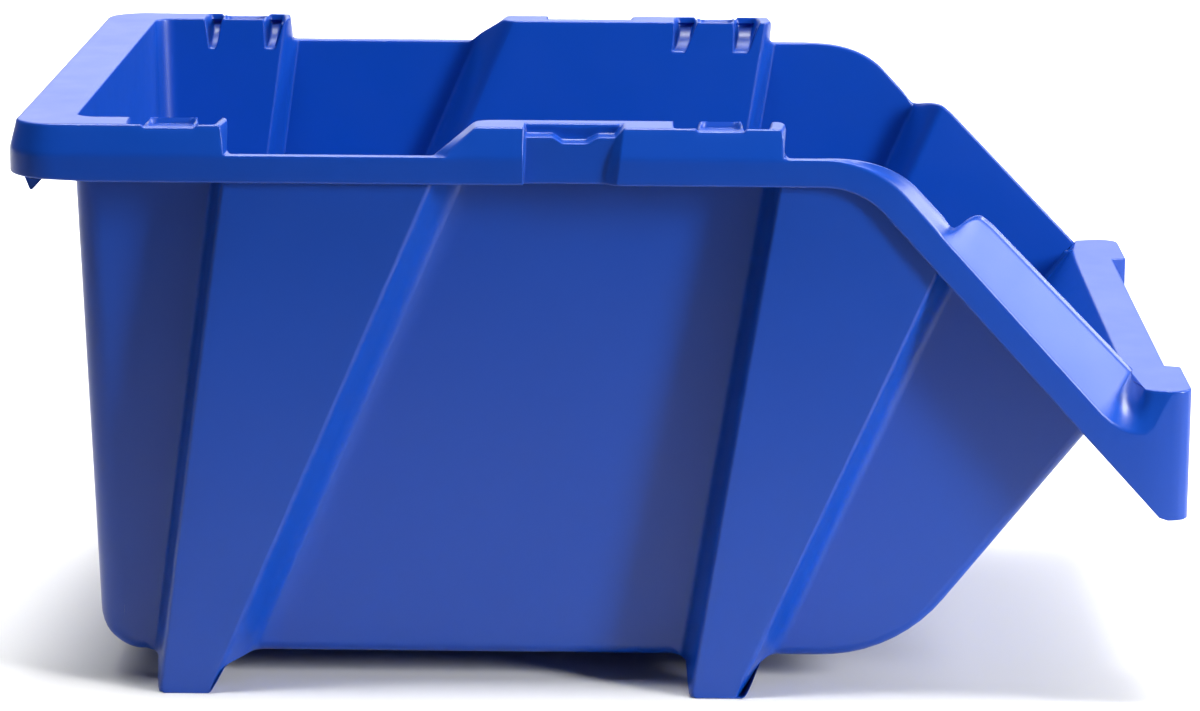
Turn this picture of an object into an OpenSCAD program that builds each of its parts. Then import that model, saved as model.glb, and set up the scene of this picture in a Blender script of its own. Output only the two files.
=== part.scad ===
// Stack-and-nest storage bin with a sloping open front, one polypropylene moulding.
// +X is the open front, +Y is the left side, +Z is up.
// The origin is under the middle of the bin, on the plane of the foot soles.
// Each node is one named section of the moulding, and neighbours meet face to face.

/* [Overall size] */
// Length from the rear skirt to the front ears
body_l = 600; // [580:1:620]
// Width over the two side skirts
body_w = 400; // [380:1:420]
// Height from the foot soles to the stacking face
body_h = 300; // [292:1:310]
// Thickness of every moulded wall
wall_t = 3; // [2.5:0.1:3.4]

/* [Walls] */
// Overhang of the rear flange beyond the rear wall
rear_overhang = 30; // [28:1:34]
// How far the rear wall leans in between its top and the floor
rear_draft = 8; // [5:1:10]
// Step from the side skirt to a column face at the top
column_in_top = 3.5; // [3.5:0.1:4.5]
// Step from the side skirt to a column face at the floor
column_in_low = 12; // [10:0.5:13]
// Step from the side skirt to a recessed panel at the top
recess_in_top = 24; // [23:0.5:26]
// Step from the side skirt to a recessed panel at the floor
recess_in_low = 42; // [38:0.5:44]
// Plan radius of the rear corners
corner_r = 14; // [12:1:18]
// Radius of the rear bottom edge
heel_r = 22; // [18:1:24]

/* [Columns] */
// Rear step of the rear column at the top, from the middle of the bin
rear_step_top = -190; // [-194:1:-186]
// Rear step of the rear column at the floor
rear_step_low = -229.5; // [-232:0.5:-227]
// Front crease of the rear column at the top
rear_crease_top = -66; // [-70:1:-62]
// Front crease of the rear column at the floor
rear_crease_low = -189; // [-192:1:-187]
// Rear step of the front column at the top
front_step_top = 91; // [88:1:94]
// Rear step of the front column at the floor
front_step_low = 46; // [44:1:48]
// Front crease of the front column at the top
front_crease_top = 207; // [203:1:210]
// Front crease of the front column at the floor
front_crease_low = 82; // [80:1:84]
// Length of a step along the side
step_run = 5; // [4:0.5:6]
// Length of a crease along the side
crease_run = 13; // [10:0.5:15]

/* [Feet] */
// Height of the feet under the floor
foot_h = 14; // [13:1:18]
// Depth of a foot across the bin
foot_d = 18; // [16:1:18]

/* [Rim] */
// Height of the rim between the stacking blocks
low_rim_z = 285; // [283:1:286]
// Depth of the skirt that hangs from the rim
skirt_h = 14; // [12:1:15]
// Lean of a block's outer face from skirt to stacking face
block_lean = 4; // [3:0.5:5]
// Rear end of the hand recess
recess_rear = -38; // [-40:1:-36]
// Front end of the hand recess
recess_front = 10; // [8:1:12]
// Step of the hand recess behind the skirt face
recess_step = 5; // [4:0.5:6]
// Height of the ledge in the hand recess
ledge_z = 295; // [293:1:296]
// Drop of the hanging lip under the rear flange
hang_h = 9; // [7:1:11]
// Width of the foot seat in a block
seat_l = 28; // [26:1:30]
// Depth of the foot seat below the stacking face
seat_h = 4; // [3:0.5:5]

/* [Sloping front] */
// Angle of the sloping rim
slope_a = 47.5; // [46:0.5:49]
// Where the slope would start if its crown were sharp
slope_x = 136; // [134:1:138]
// Radius of the crown between the level and the sloping rim
crown_r = 55; // [45:1:60]
// Rise of the sloping block over the sloping rim
slope_rise = 17; // [16:0.5:18]
// Height of the front lip
lip_z = 168; // [166:1:170]
// Angle of the hopper wall under the lip
hopper_a = 52.2; // [51.5:0.1:53]
// Radius between the floor and the hopper wall
hopper_r = 80; // [70:1:90]
// Setback of the label panel behind the front ears
label_in = 8; // [6:1:10]
// Lowest edge of the label panel and the cheeks
cheek_z = 100; // [97:1:104]
// Width of a front ear across the bin
ear_w = 60; // [50:1:70]

/* [Hidden] */

bin_blue = "#1c49b4";
fine = 0.01;                       // overlap that keeps cut faces clean
arc_n = 8;                         // segments in a rounded profile

half_l = body_l / 2;
half_w = body_w / 2;
floor_z = foot_h;                  // underside of the floor
top_z = body_h - wall_t;           // underside of the stacking plates
rim_z = low_rim_z - wall_t;        // underside of the low rim
skirt_z = low_rim_z - skirt_h;     // lower edge of the side skirt
skirt_y = -half_w + wall_t;        // inner face of the right skirt
block_y = -half_w + block_lean;    // outer top edge of the right blocks
ledge_y = -half_w + recess_step;   // face of the right hand recess
plate_y = -half_w + recess_in_top + wall_t;  // inner edge of the right stacking plates
reach_x = half_l + 60;             // side walls run past the hopper before they are cut
front_x = half_l - label_in;       // face of the label panel
past = 20;                         // how far cutting shapes run past the part

// --- plan outline of the side walls, right side, level 0 at the floor and 1 at the top ---
function mix(a, b, lv) = a + (b - a) * lv;
function level(z) = (z - floor_z) / (body_h - floor_z);
function rear_x(lv) = -half_l + rear_overhang + rear_draft * (1 - lv);
function recess_y(lv) = -half_w + mix(recess_in_low, recess_in_top, lv);
function column_y(lv) = -half_w + mix(column_in_low, column_in_top, lv);
function jog(low, top, run, from_y, to_y, lv) =
    let (x = mix(low, top, lv)) [[x - run / 2, from_y], [x + run / 2, to_y]];
function side_path(lv) =
    let (x = rear_x(lv), r = recess_y(lv), c = column_y(lv))
    concat(
        [for (i = [0:arc_n])
            [x + corner_r * (1 - cos(90 * i / arc_n)), r + corner_r * (1 - sin(90 * i / arc_n))]],
        jog(rear_step_low, rear_step_top, step_run, r, c, lv),
        jog(rear_crease_low, rear_crease_top, crease_run, c, r, lv),
        jog(front_step_low, front_step_top, step_run, r, c, lv),
        jog(front_crease_low, front_crease_top, crease_run, c, r, lv),
        [[reach_x, r]]
    );
// indices of the path where one section ends and the next starts
corner_end = arc_n + 1;
rear_face = corner_end + 1;
rear_face_end = rear_face + 1;
middle = rear_face_end + 1;
middle_end = middle + 1;
front_face = middle_end + 1;
front_face_end = front_face + 1;
front_panel_start = front_face_end + 1;
path_end = front_panel_start + 1;

// --- a path moved inwards by the wall thickness, with mitred corners ---
function inward(v) = [-v[1], v[0]] / norm(v);
function edge_normal(p, i) = inward(p[i + 1] - p[i]);
function mitre(p, i) =
    i == 0 ? edge_normal(p, 0) :
    i == len(p) - 1 ? edge_normal(p, i - 1) :
    let (m = edge_normal(p, i - 1) + edge_normal(p, i)) m / (m * edge_normal(p, i));
function inset(p, t) = [for (i = [0:len(p) - 1]) p[i] + t * mitre(p, i)];
function slice(p, a, b) = [for (i = [a:b]) p[i]];
function reversed(p) = [for (i = [len(p) - 1:-1:0]) p[i]];
function mirrored(p) = [for (q = reversed(p)) [q[0], -q[1]]];
function strip(p, a, b) = concat(slice(p, a, b), reversed(slice(inset(p, wall_t), a, b)));

// --- the rim seen from the side, moved out by d ---
crown_x = slope_x - crown_r * tan(slope_a / 2);
function crown(d) = [for (i = [0:arc_n]) let (a = 90 - slope_a * i / arc_n)
    [crown_x + (crown_r + d) * cos(a), low_rim_z - crown_r + (crown_r + d) * sin(a)]];
function slope_at(d, z) = [slope_x + (low_rim_z - z) / tan(slope_a) + d / sin(slope_a), z];
// run along the sloping rim from its sharp start, and d square to it
function on_slope(run, d) = [slope_x + run * cos(slope_a) + d * sin(slope_a),
    low_rim_z - run * sin(slope_a) + d * cos(slope_a)];
hook_run = 61;                     // where the sloping block starts
lean_d = slope_rise - wall_t;      // underside of the sloping block's plate

// --- the underside seen from the side: heel, floor and hopper wall, moved in by t ---
heel_z = floor_z + heel_r;
heel_x = rear_x(level(heel_z)) + heel_r;
heel_end = rear_step_low - step_run / 2;                     // where the heel meets the first column
hopper_back = 26;                  // from the front of the ears to the top of the hopper
hopper_x = half_l - hopper_back - (lip_z - floor_z) / tan(hopper_a);   // sharp corner of floor and hopper
hopper_cx = hopper_x - hopper_r * tan(hopper_a / 2);          // where the floor starts to curve up
function heel(t) = [for (i = [0:arc_n]) let (a = 180 + 90 * i / arc_n)
    [heel_x + (heel_r - t) * cos(a), heel_z + (heel_r - t) * sin(a)]];
function hopper_bend(t) = [for (i = [0:arc_n]) let (a = 270 + hopper_a * i / arc_n)
    [hopper_cx + (hopper_r - t) * cos(a), floor_z + hopper_r + (hopper_r - t) * sin(a)]];
function hopper_at(t, z) = [hopper_x + (z - floor_z) / tan(hopper_a) - t / sin(hopper_a), z];
lip_under = lip_z - wall_t;

// --- solids ---
// straight-sided loft from a plan outline at z0 to one at z1, both turning counterclockwise
module loft(low, z0, high, z1) {
    n = len(low);
    points = concat([for (p = low) [p[0], p[1], z0]], [for (p = high) [p[0], p[1], z1]]);
    sides = [for (i = [0:n - 1]) let (j = (i + 1) % n) each [[i, n + j, j], [i, n + i, n + j]]];
    polyhedron(points, concat([[for (i = [0:n - 1]) i], [for (i = [n - 1:-1:0]) n + i]], sides));
}
// outline in X and Z, extruded from y0 to y1
module along_y(y0, y1) {
    translate([0, y1, 0]) rotate([90, 0, 0]) linear_extrude(y1 - y0) children();
}
// outline in Y and Z, extruded from x0 to x1
module along_x(x0, x1) {
    translate([x0, 0, 0]) rotate([90, 0, 90]) linear_extrude(x1 - x0) children();
}
module on_side(side) {
    if (side == "left") mirror([0, 1, 0]) children();
    else children();
}
// everything inside the walls, between heights z0 and z1
module inside_walls(z0, z1) {
    low = inset(side_path(level(z0)), wall_t);
    high = inset(side_path(level(z1)), wall_t);
    loft(concat(low, mirrored(low)), z0, concat(high, mirrored(high)), z1);
}
// one stretch of side wall, full height before it is cut to its outline
module wall_stretch(a, b) {
    loft(strip(side_path(0), a, b), floor_z, strip(side_path(1), a, b), body_h);
}
// cuts everything outside an outline in X and Z away
module keep_outline(points) {
    along_y(-half_w - past, half_w + past) difference() {
        translate([-half_l - past, -past]) square([body_l + 3 * past + reach_x, body_h + 2 * past]);
        polygon(points);
    }
}
// outline of the side walls, with the underside in common
function wall_outline(top_line) = concat([[-half_l, heel_z]], heel(0), hopper_bend(0),
    [hopper_at(0, lip_under)], top_line);
high_line = [[half_l, top_z], [-half_l, top_z]];
low_line = concat([slope_at(-wall_t, lip_under)], reversed(crown(-wall_t)), [[-half_l, rim_z]]);
slope_line = concat([slope_at(lean_d, lip_under), on_slope(hook_run + wall_t, lean_d),
    on_slope(hook_run + wall_t, -wall_t)], reversed(crown(-wall_t)), [[-half_l, rim_z]]);

module side_wall(side, a, b, top_line) {
    color(bin_blue) on_side(side) difference() {
        wall_stretch(a, b);
        keep_outline(wall_outline(top_line));
    }
}
// the rear corner stands on the heel, which closes the corner below it
module rear_corner(side) {
    color(bin_blue) on_side(side) difference() {
        wall_stretch(0, corner_end);
        translate([-half_l - past, -half_w - past, heel_z - body_h])
            cube([half_l, body_w, body_h]);
        translate([-half_l - past, -half_w - past, top_z]) cube([half_l, body_w, body_h]);
    }
}
module rear_column_step(side) { side_wall(side, corner_end, rear_face, high_line); }
module rear_column_face(side) { side_wall(side, rear_face, rear_face_end, low_line); }
module rear_column_crease(side) { side_wall(side, rear_face_end, middle, high_line); }
module middle_panel(side) { side_wall(side, middle, middle_end, high_line); }
module front_column_step(side) { side_wall(side, middle_end, front_face, high_line); }
module front_column_face(side) { side_wall(side, front_face, front_face_end, low_line); }
// the front crease ends against the inside of the sloping block that stands over it
module front_column_crease(side) {
    difference() {
        side_wall(side, front_face_end, front_panel_start, slope_line);
        on_side(side) along_slope(0, body_h) polygon(concat([[-half_w - past, 0]], slope_inside,
            [[ridge_y, body_h], [-half_w - past, body_h]]));
    }
}
module front_panel(side) { side_wall(side, front_panel_start, path_end, slope_line); }

module rear_wall() {
    low = rear_x(level(heel_z));
    high = rear_x(level(top_z));
    y_low = -recess_y(level(heel_z)) - corner_r;
    y_high = -recess_y(level(top_z)) - corner_r;
    color(bin_blue) loft(
        [[low, -y_low], [low + wall_t, -y_low], [low + wall_t, y_low], [low, y_low]], heel_z,
        [[high, -y_high], [high + wall_t, -y_high], [high + wall_t, y_high], [high, y_high]], top_z);
}
// rounded rear bottom edge, closed by an upright at each end
module heel_curve() {
    heel_y = -recess_y(0);
    color(bin_blue) difference() {
        along_y(-heel_y, heel_y) polygon(concat(heel(0), [[heel_end, floor_z], [heel_end, heel_z]]));
        along_y(wall_t - heel_y, heel_y - wall_t) polygon(concat(heel(wall_t),
            [[heel_end + past, floor_z + wall_t], [heel_end + past, heel_z + past],
            [heel(wall_t)[0][0], heel_z + past]]));
    }
}
module floor_panel() {
    plan = inset(side_path(0), wall_t);
    color(bin_blue) difference() {
        translate([0, 0, floor_z]) linear_extrude(wall_t) intersection() {
            polygon(concat(plan, mirrored(plan)));
            translate([heel_end, -half_w]) square([hopper_cx - heel_end, body_w]);
        }
        for (side = ["right", "left"], x = [rear_step_low, front_step_low]) on_side(side)
            foot_hollow(x, past);
    }
}
module hopper_curve() {
    color(bin_blue) difference() {
        inside_walls(floor_z, floor_z + hopper_r);
        keep_outline(concat(hopper_bend(0), reversed(hopper_bend(wall_t))));
    }
}
module hopper_wall() {
    start = hopper_bend(0)[arc_n];
    start_in = hopper_bend(wall_t)[arc_n];
    color(bin_blue) difference() {
        inside_walls(floor_z, lip_under);
        keep_outline([start, hopper_at(0, lip_under), hopper_at(wall_t, lip_under), start_in]);
    }
}

// --- feet: the bottom ends of the columns ---
foot_y = column_y(0);
sole_chamfer = 3;
sole_l = 24;                       // length of the room inside a foot
foot_lead = 2;                     // a foot starts this far behind its column's step
rear_sole = [1, 25];               // ends of a rear sole, counted from the step
front_sole = [2, 28];              // ends of a front sole, counted from the step
function foot_outline(step_x, crease_x, sole) = [[step_x - foot_lead, floor_z],
    [step_x - foot_lead, sole_chamfer], [step_x + sole[0], 0], [step_x + sole[1], 0],
    [step_x + sole[1] + sole_chamfer, sole_chamfer], [crease_x, floor_z]];
// room inside a foot, open to the column above; extra widens it where it only passes the floor
module foot_hollow(step_x, extra = 0) {
    translate([step_x - foot_lead + wall_t - extra, foot_y + wall_t, wall_t])
        cube([sole_l + extra, foot_d - 2 * wall_t, floor_z + wall_t]);
}
module foot(side, step_x, outline) {
    color(bin_blue) on_side(side) difference() {
        along_y(foot_y, foot_y + foot_d) polygon(outline);
        foot_hollow(step_x);
    }
}
module rear_foot(side) {
    foot(side, rear_step_low, foot_outline(rear_step_low, rear_crease_low, rear_sole));
}
module front_foot(side) {
    foot(side, front_step_low, foot_outline(front_step_low, front_crease_low, front_sole));
}

// --- rear rim ---
rim_r = 24;                        // plan radius of the outer rim corners
rear_skirt_up = 2;                 // the rear skirt stops this much higher than the side skirts
rear_skirt_z = skirt_z + rear_skirt_up;
rear_edge = rear_x(1) + wall_t;    // inner edge of the rear flange
rim_start = -half_l + rim_r;       // where the straight side rim starts
rim_half_w = half_w - rim_r;       // half of the straight rear rim
module rear_skirt() {
    color(bin_blue) along_y(-rim_half_w, rim_half_w) polygon([
        [-half_l, rear_skirt_z], [-half_l + wall_t, rear_skirt_z], [-half_l + wall_t, low_rim_z],
        [-half_l + wall_t + block_lean, body_h], [-half_l + block_lean, body_h],
        [-half_l, low_rim_z]]);
}
module rear_flange() {
    color(bin_blue) translate([0, 0, top_z]) linear_extrude(wall_t) difference() {
        translate([-half_l + wall_t + block_lean, -rim_half_w])
            square([rear_overhang - block_lean + past, 2 * rim_half_w]);
        inner = inset(side_path(1), wall_t);
        polygon(concat(inner, mirrored(inner)));
    }
}
// the lip's section: start, both ends of its tip and its end, from the skirt's inner face
lip_run = [2.5, 6.5, 8, 14];
lip_root = 6;                      // height of the root that joins it to the skirt
module hanging_lip() {
    hang_x = -half_l + wall_t;
    color(bin_blue) along_y(-rim_half_w, rim_half_w) polygon([
        [hang_x, rear_skirt_z + lip_root], [hang_x, rear_skirt_z], [hang_x + lip_run[0], rear_skirt_z],
        [hang_x + lip_run[1], rear_skirt_z - hang_h], [hang_x + lip_run[2], rear_skirt_z - hang_h],
        [hang_x + lip_run[3], rear_skirt_z], [hang_x + lip_run[3], rear_skirt_z + wall_t],
        [hang_x + wall_t, rear_skirt_z + lip_root]]);
}
// quarter-round plan outline of the rim corner, moved in by t and leaning by lean
function rim_arc(t) = [for (i = [0:arc_n]) let (a = 180 + 90 * i / arc_n)
    [rim_start + (rim_r - t) * cos(a), -rim_half_w + (rim_r - t) * sin(a)]];
module rim_corner_solid(t, z0, z1) {
    corner = [rim_start, -rim_half_w];
    low = concat([corner], rim_arc(t));
    high = concat([corner], rim_arc(t + block_lean));
    loft(low, z0, low, low_rim_z);
    loft(low, low_rim_z, high, z1);
}
module rim_corner(side) {
    color(bin_blue) on_side(side) difference() {
        rim_corner_solid(0, rear_skirt_z, body_h);
        rim_corner_solid(wall_t, rear_skirt_z - past, top_z);
        translate([0, 0, top_z - fine]) linear_extrude(wall_t + 2 * fine)
            polygon(concat(inset(side_path(1), wall_t), [[reach_x, 0], [rear_edge, 0]]));
    }
}

// --- side rim ---
module skirt_plate(side, line_points, y0 = -half_w) {
    color(bin_blue) on_side(side) along_y(y0, y0 + wall_t) polygon(line_points);
}
function band(x0, x1) = [[x0, skirt_z], [x1, skirt_z], [x1, low_rim_z], [x0, low_rim_z]];
cheek_drop = 5;                    // the sloping skirt becomes the cheek this far under the lip
cheek_top = slope_at(0, lip_z - cheek_drop);
cheek_low = cheek_top - skirt_h * [sin(slope_a), cos(slope_a)];
module rear_side_skirt(side) { skirt_plate(side, band(rim_start, recess_rear)); }
module front_side_skirt(side) { skirt_plate(side, band(recess_front, crown_x)); }
module slope_skirt(side) {
    skirt_plate(side, concat(crown(0), [cheek_top, cheek_low], reversed(crown(-skirt_h))));
}
// low rim over a column: a narrow plate from the skirt to the column face
low_rim_y = column_y(1) + wall_t;
module rear_rim(side) {
    x0 = rear_step_top + step_run / 2;
    x1 = rear_crease_top - crease_run / 2;
    color(bin_blue) on_side(side) translate([x0, skirt_y, rim_z])
        cube([x1 - x0, low_rim_y - skirt_y, wall_t]);
}
module front_rim(side) {
    x0 = front_step_top + step_run / 2;
    color(bin_blue) on_side(side) along_y(skirt_y, low_rim_y) polygon(concat(
        [[x0, low_rim_z]], crown(0), [on_slope(hook_run, 0), on_slope(hook_run, -wall_t)],
        reversed(crown(-wall_t)), [[x0, rim_z]]));
}

// --- stacking blocks ---
// cross-section of a block: leaning outer face and stacking plate
module block_section() {
    polygon([[-half_w, low_rim_z], [block_y, body_h], [plate_y, body_h], [plate_y, top_z],
        [block_y + wall_t, top_z], [-half_w + wall_t, low_rim_z]]);
}
seat_clear = 1;                    // room between a seat's edge and the foot standing in it
// shallow seat that takes the foot of the bin above, open towards the bin
module foot_seat(x) {
    translate([x - seat_l / 2, foot_y - seat_clear, body_h - seat_h])
        cube([seat_l, plate_y - foot_y + seat_clear + fine, seat_h + fine]);
}
// the plate is carried down under the seat so that it keeps its thickness
module seat_pan(x) {
    translate([x - seat_l / 2 - wall_t, foot_y - seat_clear - wall_t, top_z - seat_h])
        cube([seat_l + 2 * wall_t, plate_y - foot_y + seat_clear, seat_h]);
}
rear_seat_x = rear_step_low + (rear_sole[0] + rear_sole[1]) / 2;
front_seat_x = front_step_low + (front_sole[0] + front_sole[1]) / 2;
module rear_block(side) {
    color(bin_blue) on_side(side) difference() {
        union() {
            along_x(rim_start, rear_step_top + step_run / 2) block_section();
            seat_pan(rear_seat_x);
        }
        foot_seat(rear_seat_x);
    }
}
module front_block(side) {
    color(bin_blue) on_side(side) difference() {
        union() {
            along_x(recess_front, front_step_top + step_run / 2) block_section();
            seat_pan(front_seat_x);
        }
        foot_seat(front_seat_x);
    }
}
ramp_half = 6;                     // half the length of the centre block's slanted rear end
module centre_block(side) {
    x0 = rear_crease_top - crease_run / 2;
    ramp = [[x0 - ramp_half, low_rim_z], [recess_rear, low_rim_z], [recess_rear, body_h],
        [x0 + ramp_half, body_h]];
    color(bin_blue) on_side(side) intersection() {
        along_x(x0 - ramp_half, recess_rear) block_section();
        along_y(-half_w, 0) polygon(ramp);
    }
}
upright_y = -half_w + 16;          // face of the upright behind the hand recess
notch_r = 10;                      // half the length of the notch in the recess's ledge
notch_flat = 0.35;                 // its depth as a share of that
notch_x = (recess_rear + recess_front) / 2 + 3;
// hand recess: the skirt steps in, with a notched ledge and an upright behind it
module hand_recess(side) {
    color(bin_blue) on_side(side) difference() {
        along_x(recess_rear, recess_front) polygon([
            [ledge_y, skirt_z], [ledge_y + wall_t, skirt_z], [ledge_y + wall_t, ledge_z - wall_t],
            [upright_y + wall_t, ledge_z - wall_t], [upright_y + wall_t, top_z], [plate_y, top_z],
            [plate_y, body_h], [upright_y, body_h], [upright_y, ledge_z], [ledge_y, ledge_z]]);
        translate([notch_x, ledge_y - fine, ledge_z]) rotate([-90, 0, 0]) scale([1, notch_flat, 1])
            cylinder(h = wall_t + 2 * fine, r = notch_r, $fn = 32);
    }
}
// sloping block: its outer face leans far in, and a plate closes its rear end
shoulder_y = -half_w + 14;         // where the outer face meets the block's top
ridge_y = -half_w + 22;            // where the top reaches its full height
slope_outside = [[-half_w, 0], [shoulder_y, lean_d], [ridge_y, slope_rise]];
slope_inside = [[-half_w + wall_t + 1, 0], [shoulder_y + 2, lean_d - wall_t], [ridge_y + 1, lean_d]];
// outline in Y and height over the sloping rim, extruded between two runs along the slope
module along_slope(run0, run1) {
    translate([slope_x, 0, low_rim_z]) rotate([0, slope_a, 0]) along_x(run0, run1) children();
}
module slope_block(side) {
    color(bin_blue) on_side(side) difference() {
        union() {
            along_slope(hook_run, body_h) polygon(concat(slope_outside,
                [[0, slope_rise], [0, lean_d]], reversed(slope_inside)));
            along_slope(hook_run, hook_run + wall_t)
                polygon(concat(slope_outside, [[0, slope_rise], [0, 0]]));
        }
        inside_walls(lip_under, body_h);
        translate([0, -half_w - past, lip_z - body_h]) cube([body_l, body_w, body_h]);
    }
}

// --- front lip, label panel, cheeks and ears ---
ear_in = half_w - ear_w;           // where the ears start
ear_depth = 18;                    // run of the cheek's turn, along the bin
ear_cut = 16;                      // run of the cheek's turn, across the bin
bend_x = half_l - ear_depth;
lip_edge = hopper_at(wall_t, lip_z)[0];
lip_side_y = -half_w + block_lean;
lip_back = slope_at(lean_d, lip_under)[0];          // where the side walls end under the lip
lip_wall_y = recess_y(level(lip_under)) + wall_t;   // inner face of a side wall at the lip
module front_lip() {
    right = [[lip_edge, lip_wall_y], [lip_back, lip_wall_y], [lip_back, lip_side_y],
        [bend_x, lip_side_y], [half_l, -half_w + ear_cut], [half_l, -ear_in], [front_x, -ear_in]];
    color(bin_blue) translate([0, 0, lip_under]) linear_extrude(wall_t)
        polygon(concat(right, mirrored(right)));
}
module label_panel() {
    color(bin_blue) translate([front_x - wall_t, -ear_in, cheek_z])
        cube([wall_t, 2 * ear_in, lip_under - cheek_z]);
}
bend_z = low_rim_z - (bend_x - slope_x) * tan(slope_a) - skirt_h / cos(slope_a);
module cheek(side) {
    skirt_plate(side, [cheek_low, [bend_x, bend_z], [bend_x, lip_under], slope_at(0, lip_under),
        cheek_top]);
}
module ear(side) {
    path = [[bend_x, -half_w], [half_l, -half_w + ear_cut], [half_l, -ear_in], [front_x - wall_t, -ear_in]];
    color(bin_blue) on_side(side) translate([0, 0, cheek_z]) linear_extrude(lip_under - cheek_z)
        polygon(strip(path, 0, len(path) - 1));
}

floor_panel();
heel_curve();
rear_wall();
hopper_curve();
hopper_wall();
rear_corner("right");  // right_rear_corner
rear_corner("left");  // left_rear_corner
rear_column_step("right");  // right_rear_column_step
rear_column_step("left");  // left_rear_column_step
rear_column_face("right");  // right_rear_column_face
rear_column_face("left");  // left_rear_column_face
rear_column_crease("right");  // right_rear_column_crease
rear_column_crease("left");  // left_rear_column_crease
middle_panel("right");  // right_middle_panel
middle_panel("left");  // left_middle_panel
front_column_step("right");  // right_front_column_step
front_column_step("left");  // left_front_column_step
front_column_face("right");  // right_front_column_face
front_column_face("left");  // left_front_column_face
front_column_crease("right");  // right_front_column_crease
front_column_crease("left");  // left_front_column_crease
front_panel("right");  // right_front_panel
front_panel("left");  // left_front_panel
rear_foot("right");  // right_rear_foot
rear_foot("left");  // left_rear_foot
front_foot("right");  // right_front_foot
front_foot("left");  // left_front_foot
rear_flange();
rear_skirt();
hanging_lip();
rim_corner("right");  // right_rim_corner
rim_corner("left");  // left_rim_corner
rear_side_skirt("right");  // right_rear_skirt
rear_side_skirt("left");  // left_rear_skirt
hand_recess("right");  // right_hand_recess
hand_recess("left");  // left_hand_recess
front_side_skirt("right");  // right_front_skirt
front_side_skirt("left");  // left_front_skirt
slope_skirt("right");  // right_slope_skirt
slope_skirt("left");  // left_slope_skirt
rear_rim("right");  // right_rear_rim
rear_rim("left");  // left_rear_rim
front_rim("right");  // right_front_rim
front_rim("left");  // left_front_rim
rear_block("right");  // right_rear_block
rear_block("left");  // left_rear_block
centre_block("right");  // right_centre_block
centre_block("left");  // left_centre_block
front_block("right");  // right_front_block
front_block("left");  // left_front_block
slope_block("right");  // right_slope_block
slope_block("left");  // left_slope_block
front_lip();
label_panel();
cheek("right");  // right_cheek
cheek("left");  // left_cheek
ear("right");  // right_ear
ear("left");  // left_ear
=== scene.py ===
"""Stack-and-nest storage bin: one moulding, drawn as a continuous 3 mm sheet and cut into named pieces.

The sheet has a face side (skirt outside, rim top, inside of the bin) and a back side (skirt inside,
underside of the rim, outside of the bin). Both are swept over the same grid of stations and rows.
Lengths are in millimetres until a mesh is made; the studio is in metres. The right half, y < 0, is
mirrored for the left.
"""
import math

import bpy
import numpy as np
from mathutils import Matrix, Vector


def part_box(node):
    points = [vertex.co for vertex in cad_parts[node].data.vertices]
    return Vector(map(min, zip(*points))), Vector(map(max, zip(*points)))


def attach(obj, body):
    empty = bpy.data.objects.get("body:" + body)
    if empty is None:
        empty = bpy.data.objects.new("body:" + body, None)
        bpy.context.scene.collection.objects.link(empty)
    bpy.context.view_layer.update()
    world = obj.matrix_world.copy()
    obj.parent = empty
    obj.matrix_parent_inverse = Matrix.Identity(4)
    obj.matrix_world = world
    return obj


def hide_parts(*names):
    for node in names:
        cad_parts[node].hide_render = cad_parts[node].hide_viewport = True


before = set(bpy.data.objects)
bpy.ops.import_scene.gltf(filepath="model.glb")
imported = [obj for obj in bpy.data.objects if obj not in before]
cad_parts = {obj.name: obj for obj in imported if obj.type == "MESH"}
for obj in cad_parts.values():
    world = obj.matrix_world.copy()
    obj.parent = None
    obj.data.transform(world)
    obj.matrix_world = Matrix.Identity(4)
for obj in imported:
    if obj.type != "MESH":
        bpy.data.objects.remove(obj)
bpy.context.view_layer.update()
MM = 0.001


def lows(node):
    return [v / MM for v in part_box(node)[0]]


def highs(node):
    return [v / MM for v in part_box(node)[1]]


# ---------------------------------------------------------------- sizes from the frame
WALL = 3.0
HALF_L = highs("right_ear")[0]
HALF_W = -lows("right_rear_skirt")[1]
TOP = highs("rear_skirt")[2]
LOW_RIM = highs("right_rear_rim")[2]
SKIRT_Z = lows("right_rear_skirt")[2]
REAR_SKIRT_Z = lows("rear_skirt")[2]
FLOOR_Z = lows("floor_panel")[2]
LIP_Z = highs("front_lip")[2]
CHEEK_Z = lows("right_ear")[2]
PANEL_X = highs("label_panel")[0]
EAR_IN = highs("label_panel")[1]
CROWN_X = highs("right_front_skirt")[0]
RECESS_A, RECESS_B = lows("right_hand_recess")[0], highs("right_hand_recess")[0]
REAR_TOP_X = lows("rear_wall")[0]
BLOCK_H = TOP - LOW_RIM
SKIRT_D = LOW_RIM - SKIRT_Z

# ---------------------------------------------------------------- plan of the side walls
REAR_DRAFT = 8.0                           # the rear wall leans back by this over the height
CORNER_R = 14.0                            # upright rear corners
EDGE_R = 6.0                               # long edge between side wall and underside
HEEL_EDGE_R = 10.0                         # the same edge where it comes round the heel
SHARP_R = 0.8                              # the same edge at the foot of a column
HEEL_R = 22.0                              # turn from the rear wall to the floor
PANEL_LOW, PANEL_TOP = HALF_W - 42.0, HALF_W - 24.0       # recessed wall, at the floor and at the top
COLUMN_LOW, COLUMN_TOP = HALF_W - 12.0, HALF_W - 3.5      # face of a column, in the same way
# rise or fall of the wall at a column edge: x at the floor, x at the top, run along the side, sign
JOGS = [(-229.5, -190.0, 5.0, 1), (-189.0, -66.0, 13.0, -1), (46.0, 91.0, 5.0, 1), (82.0, 207.0, 9.0, -1)]
JOG_ROUND = 1.9                            # rounding where the edge meets the column
COVE_ROUND = {1: 2.4, -1: 6.0}             # and where it meets the panel, by the sign of the jog


def level(z):
    return (z - FLOOR_Z) / (TOP - FLOOR_Z)


def mix(a, b, t):
    return a + (b - a) * t


def soft(q, w):
    """Ramp that starts to rise at 0, rounded over w each side."""
    return np.where(q < -w, 0.0, np.where(q > w, q, (q + w) ** 2 / (4 * w)))


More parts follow.
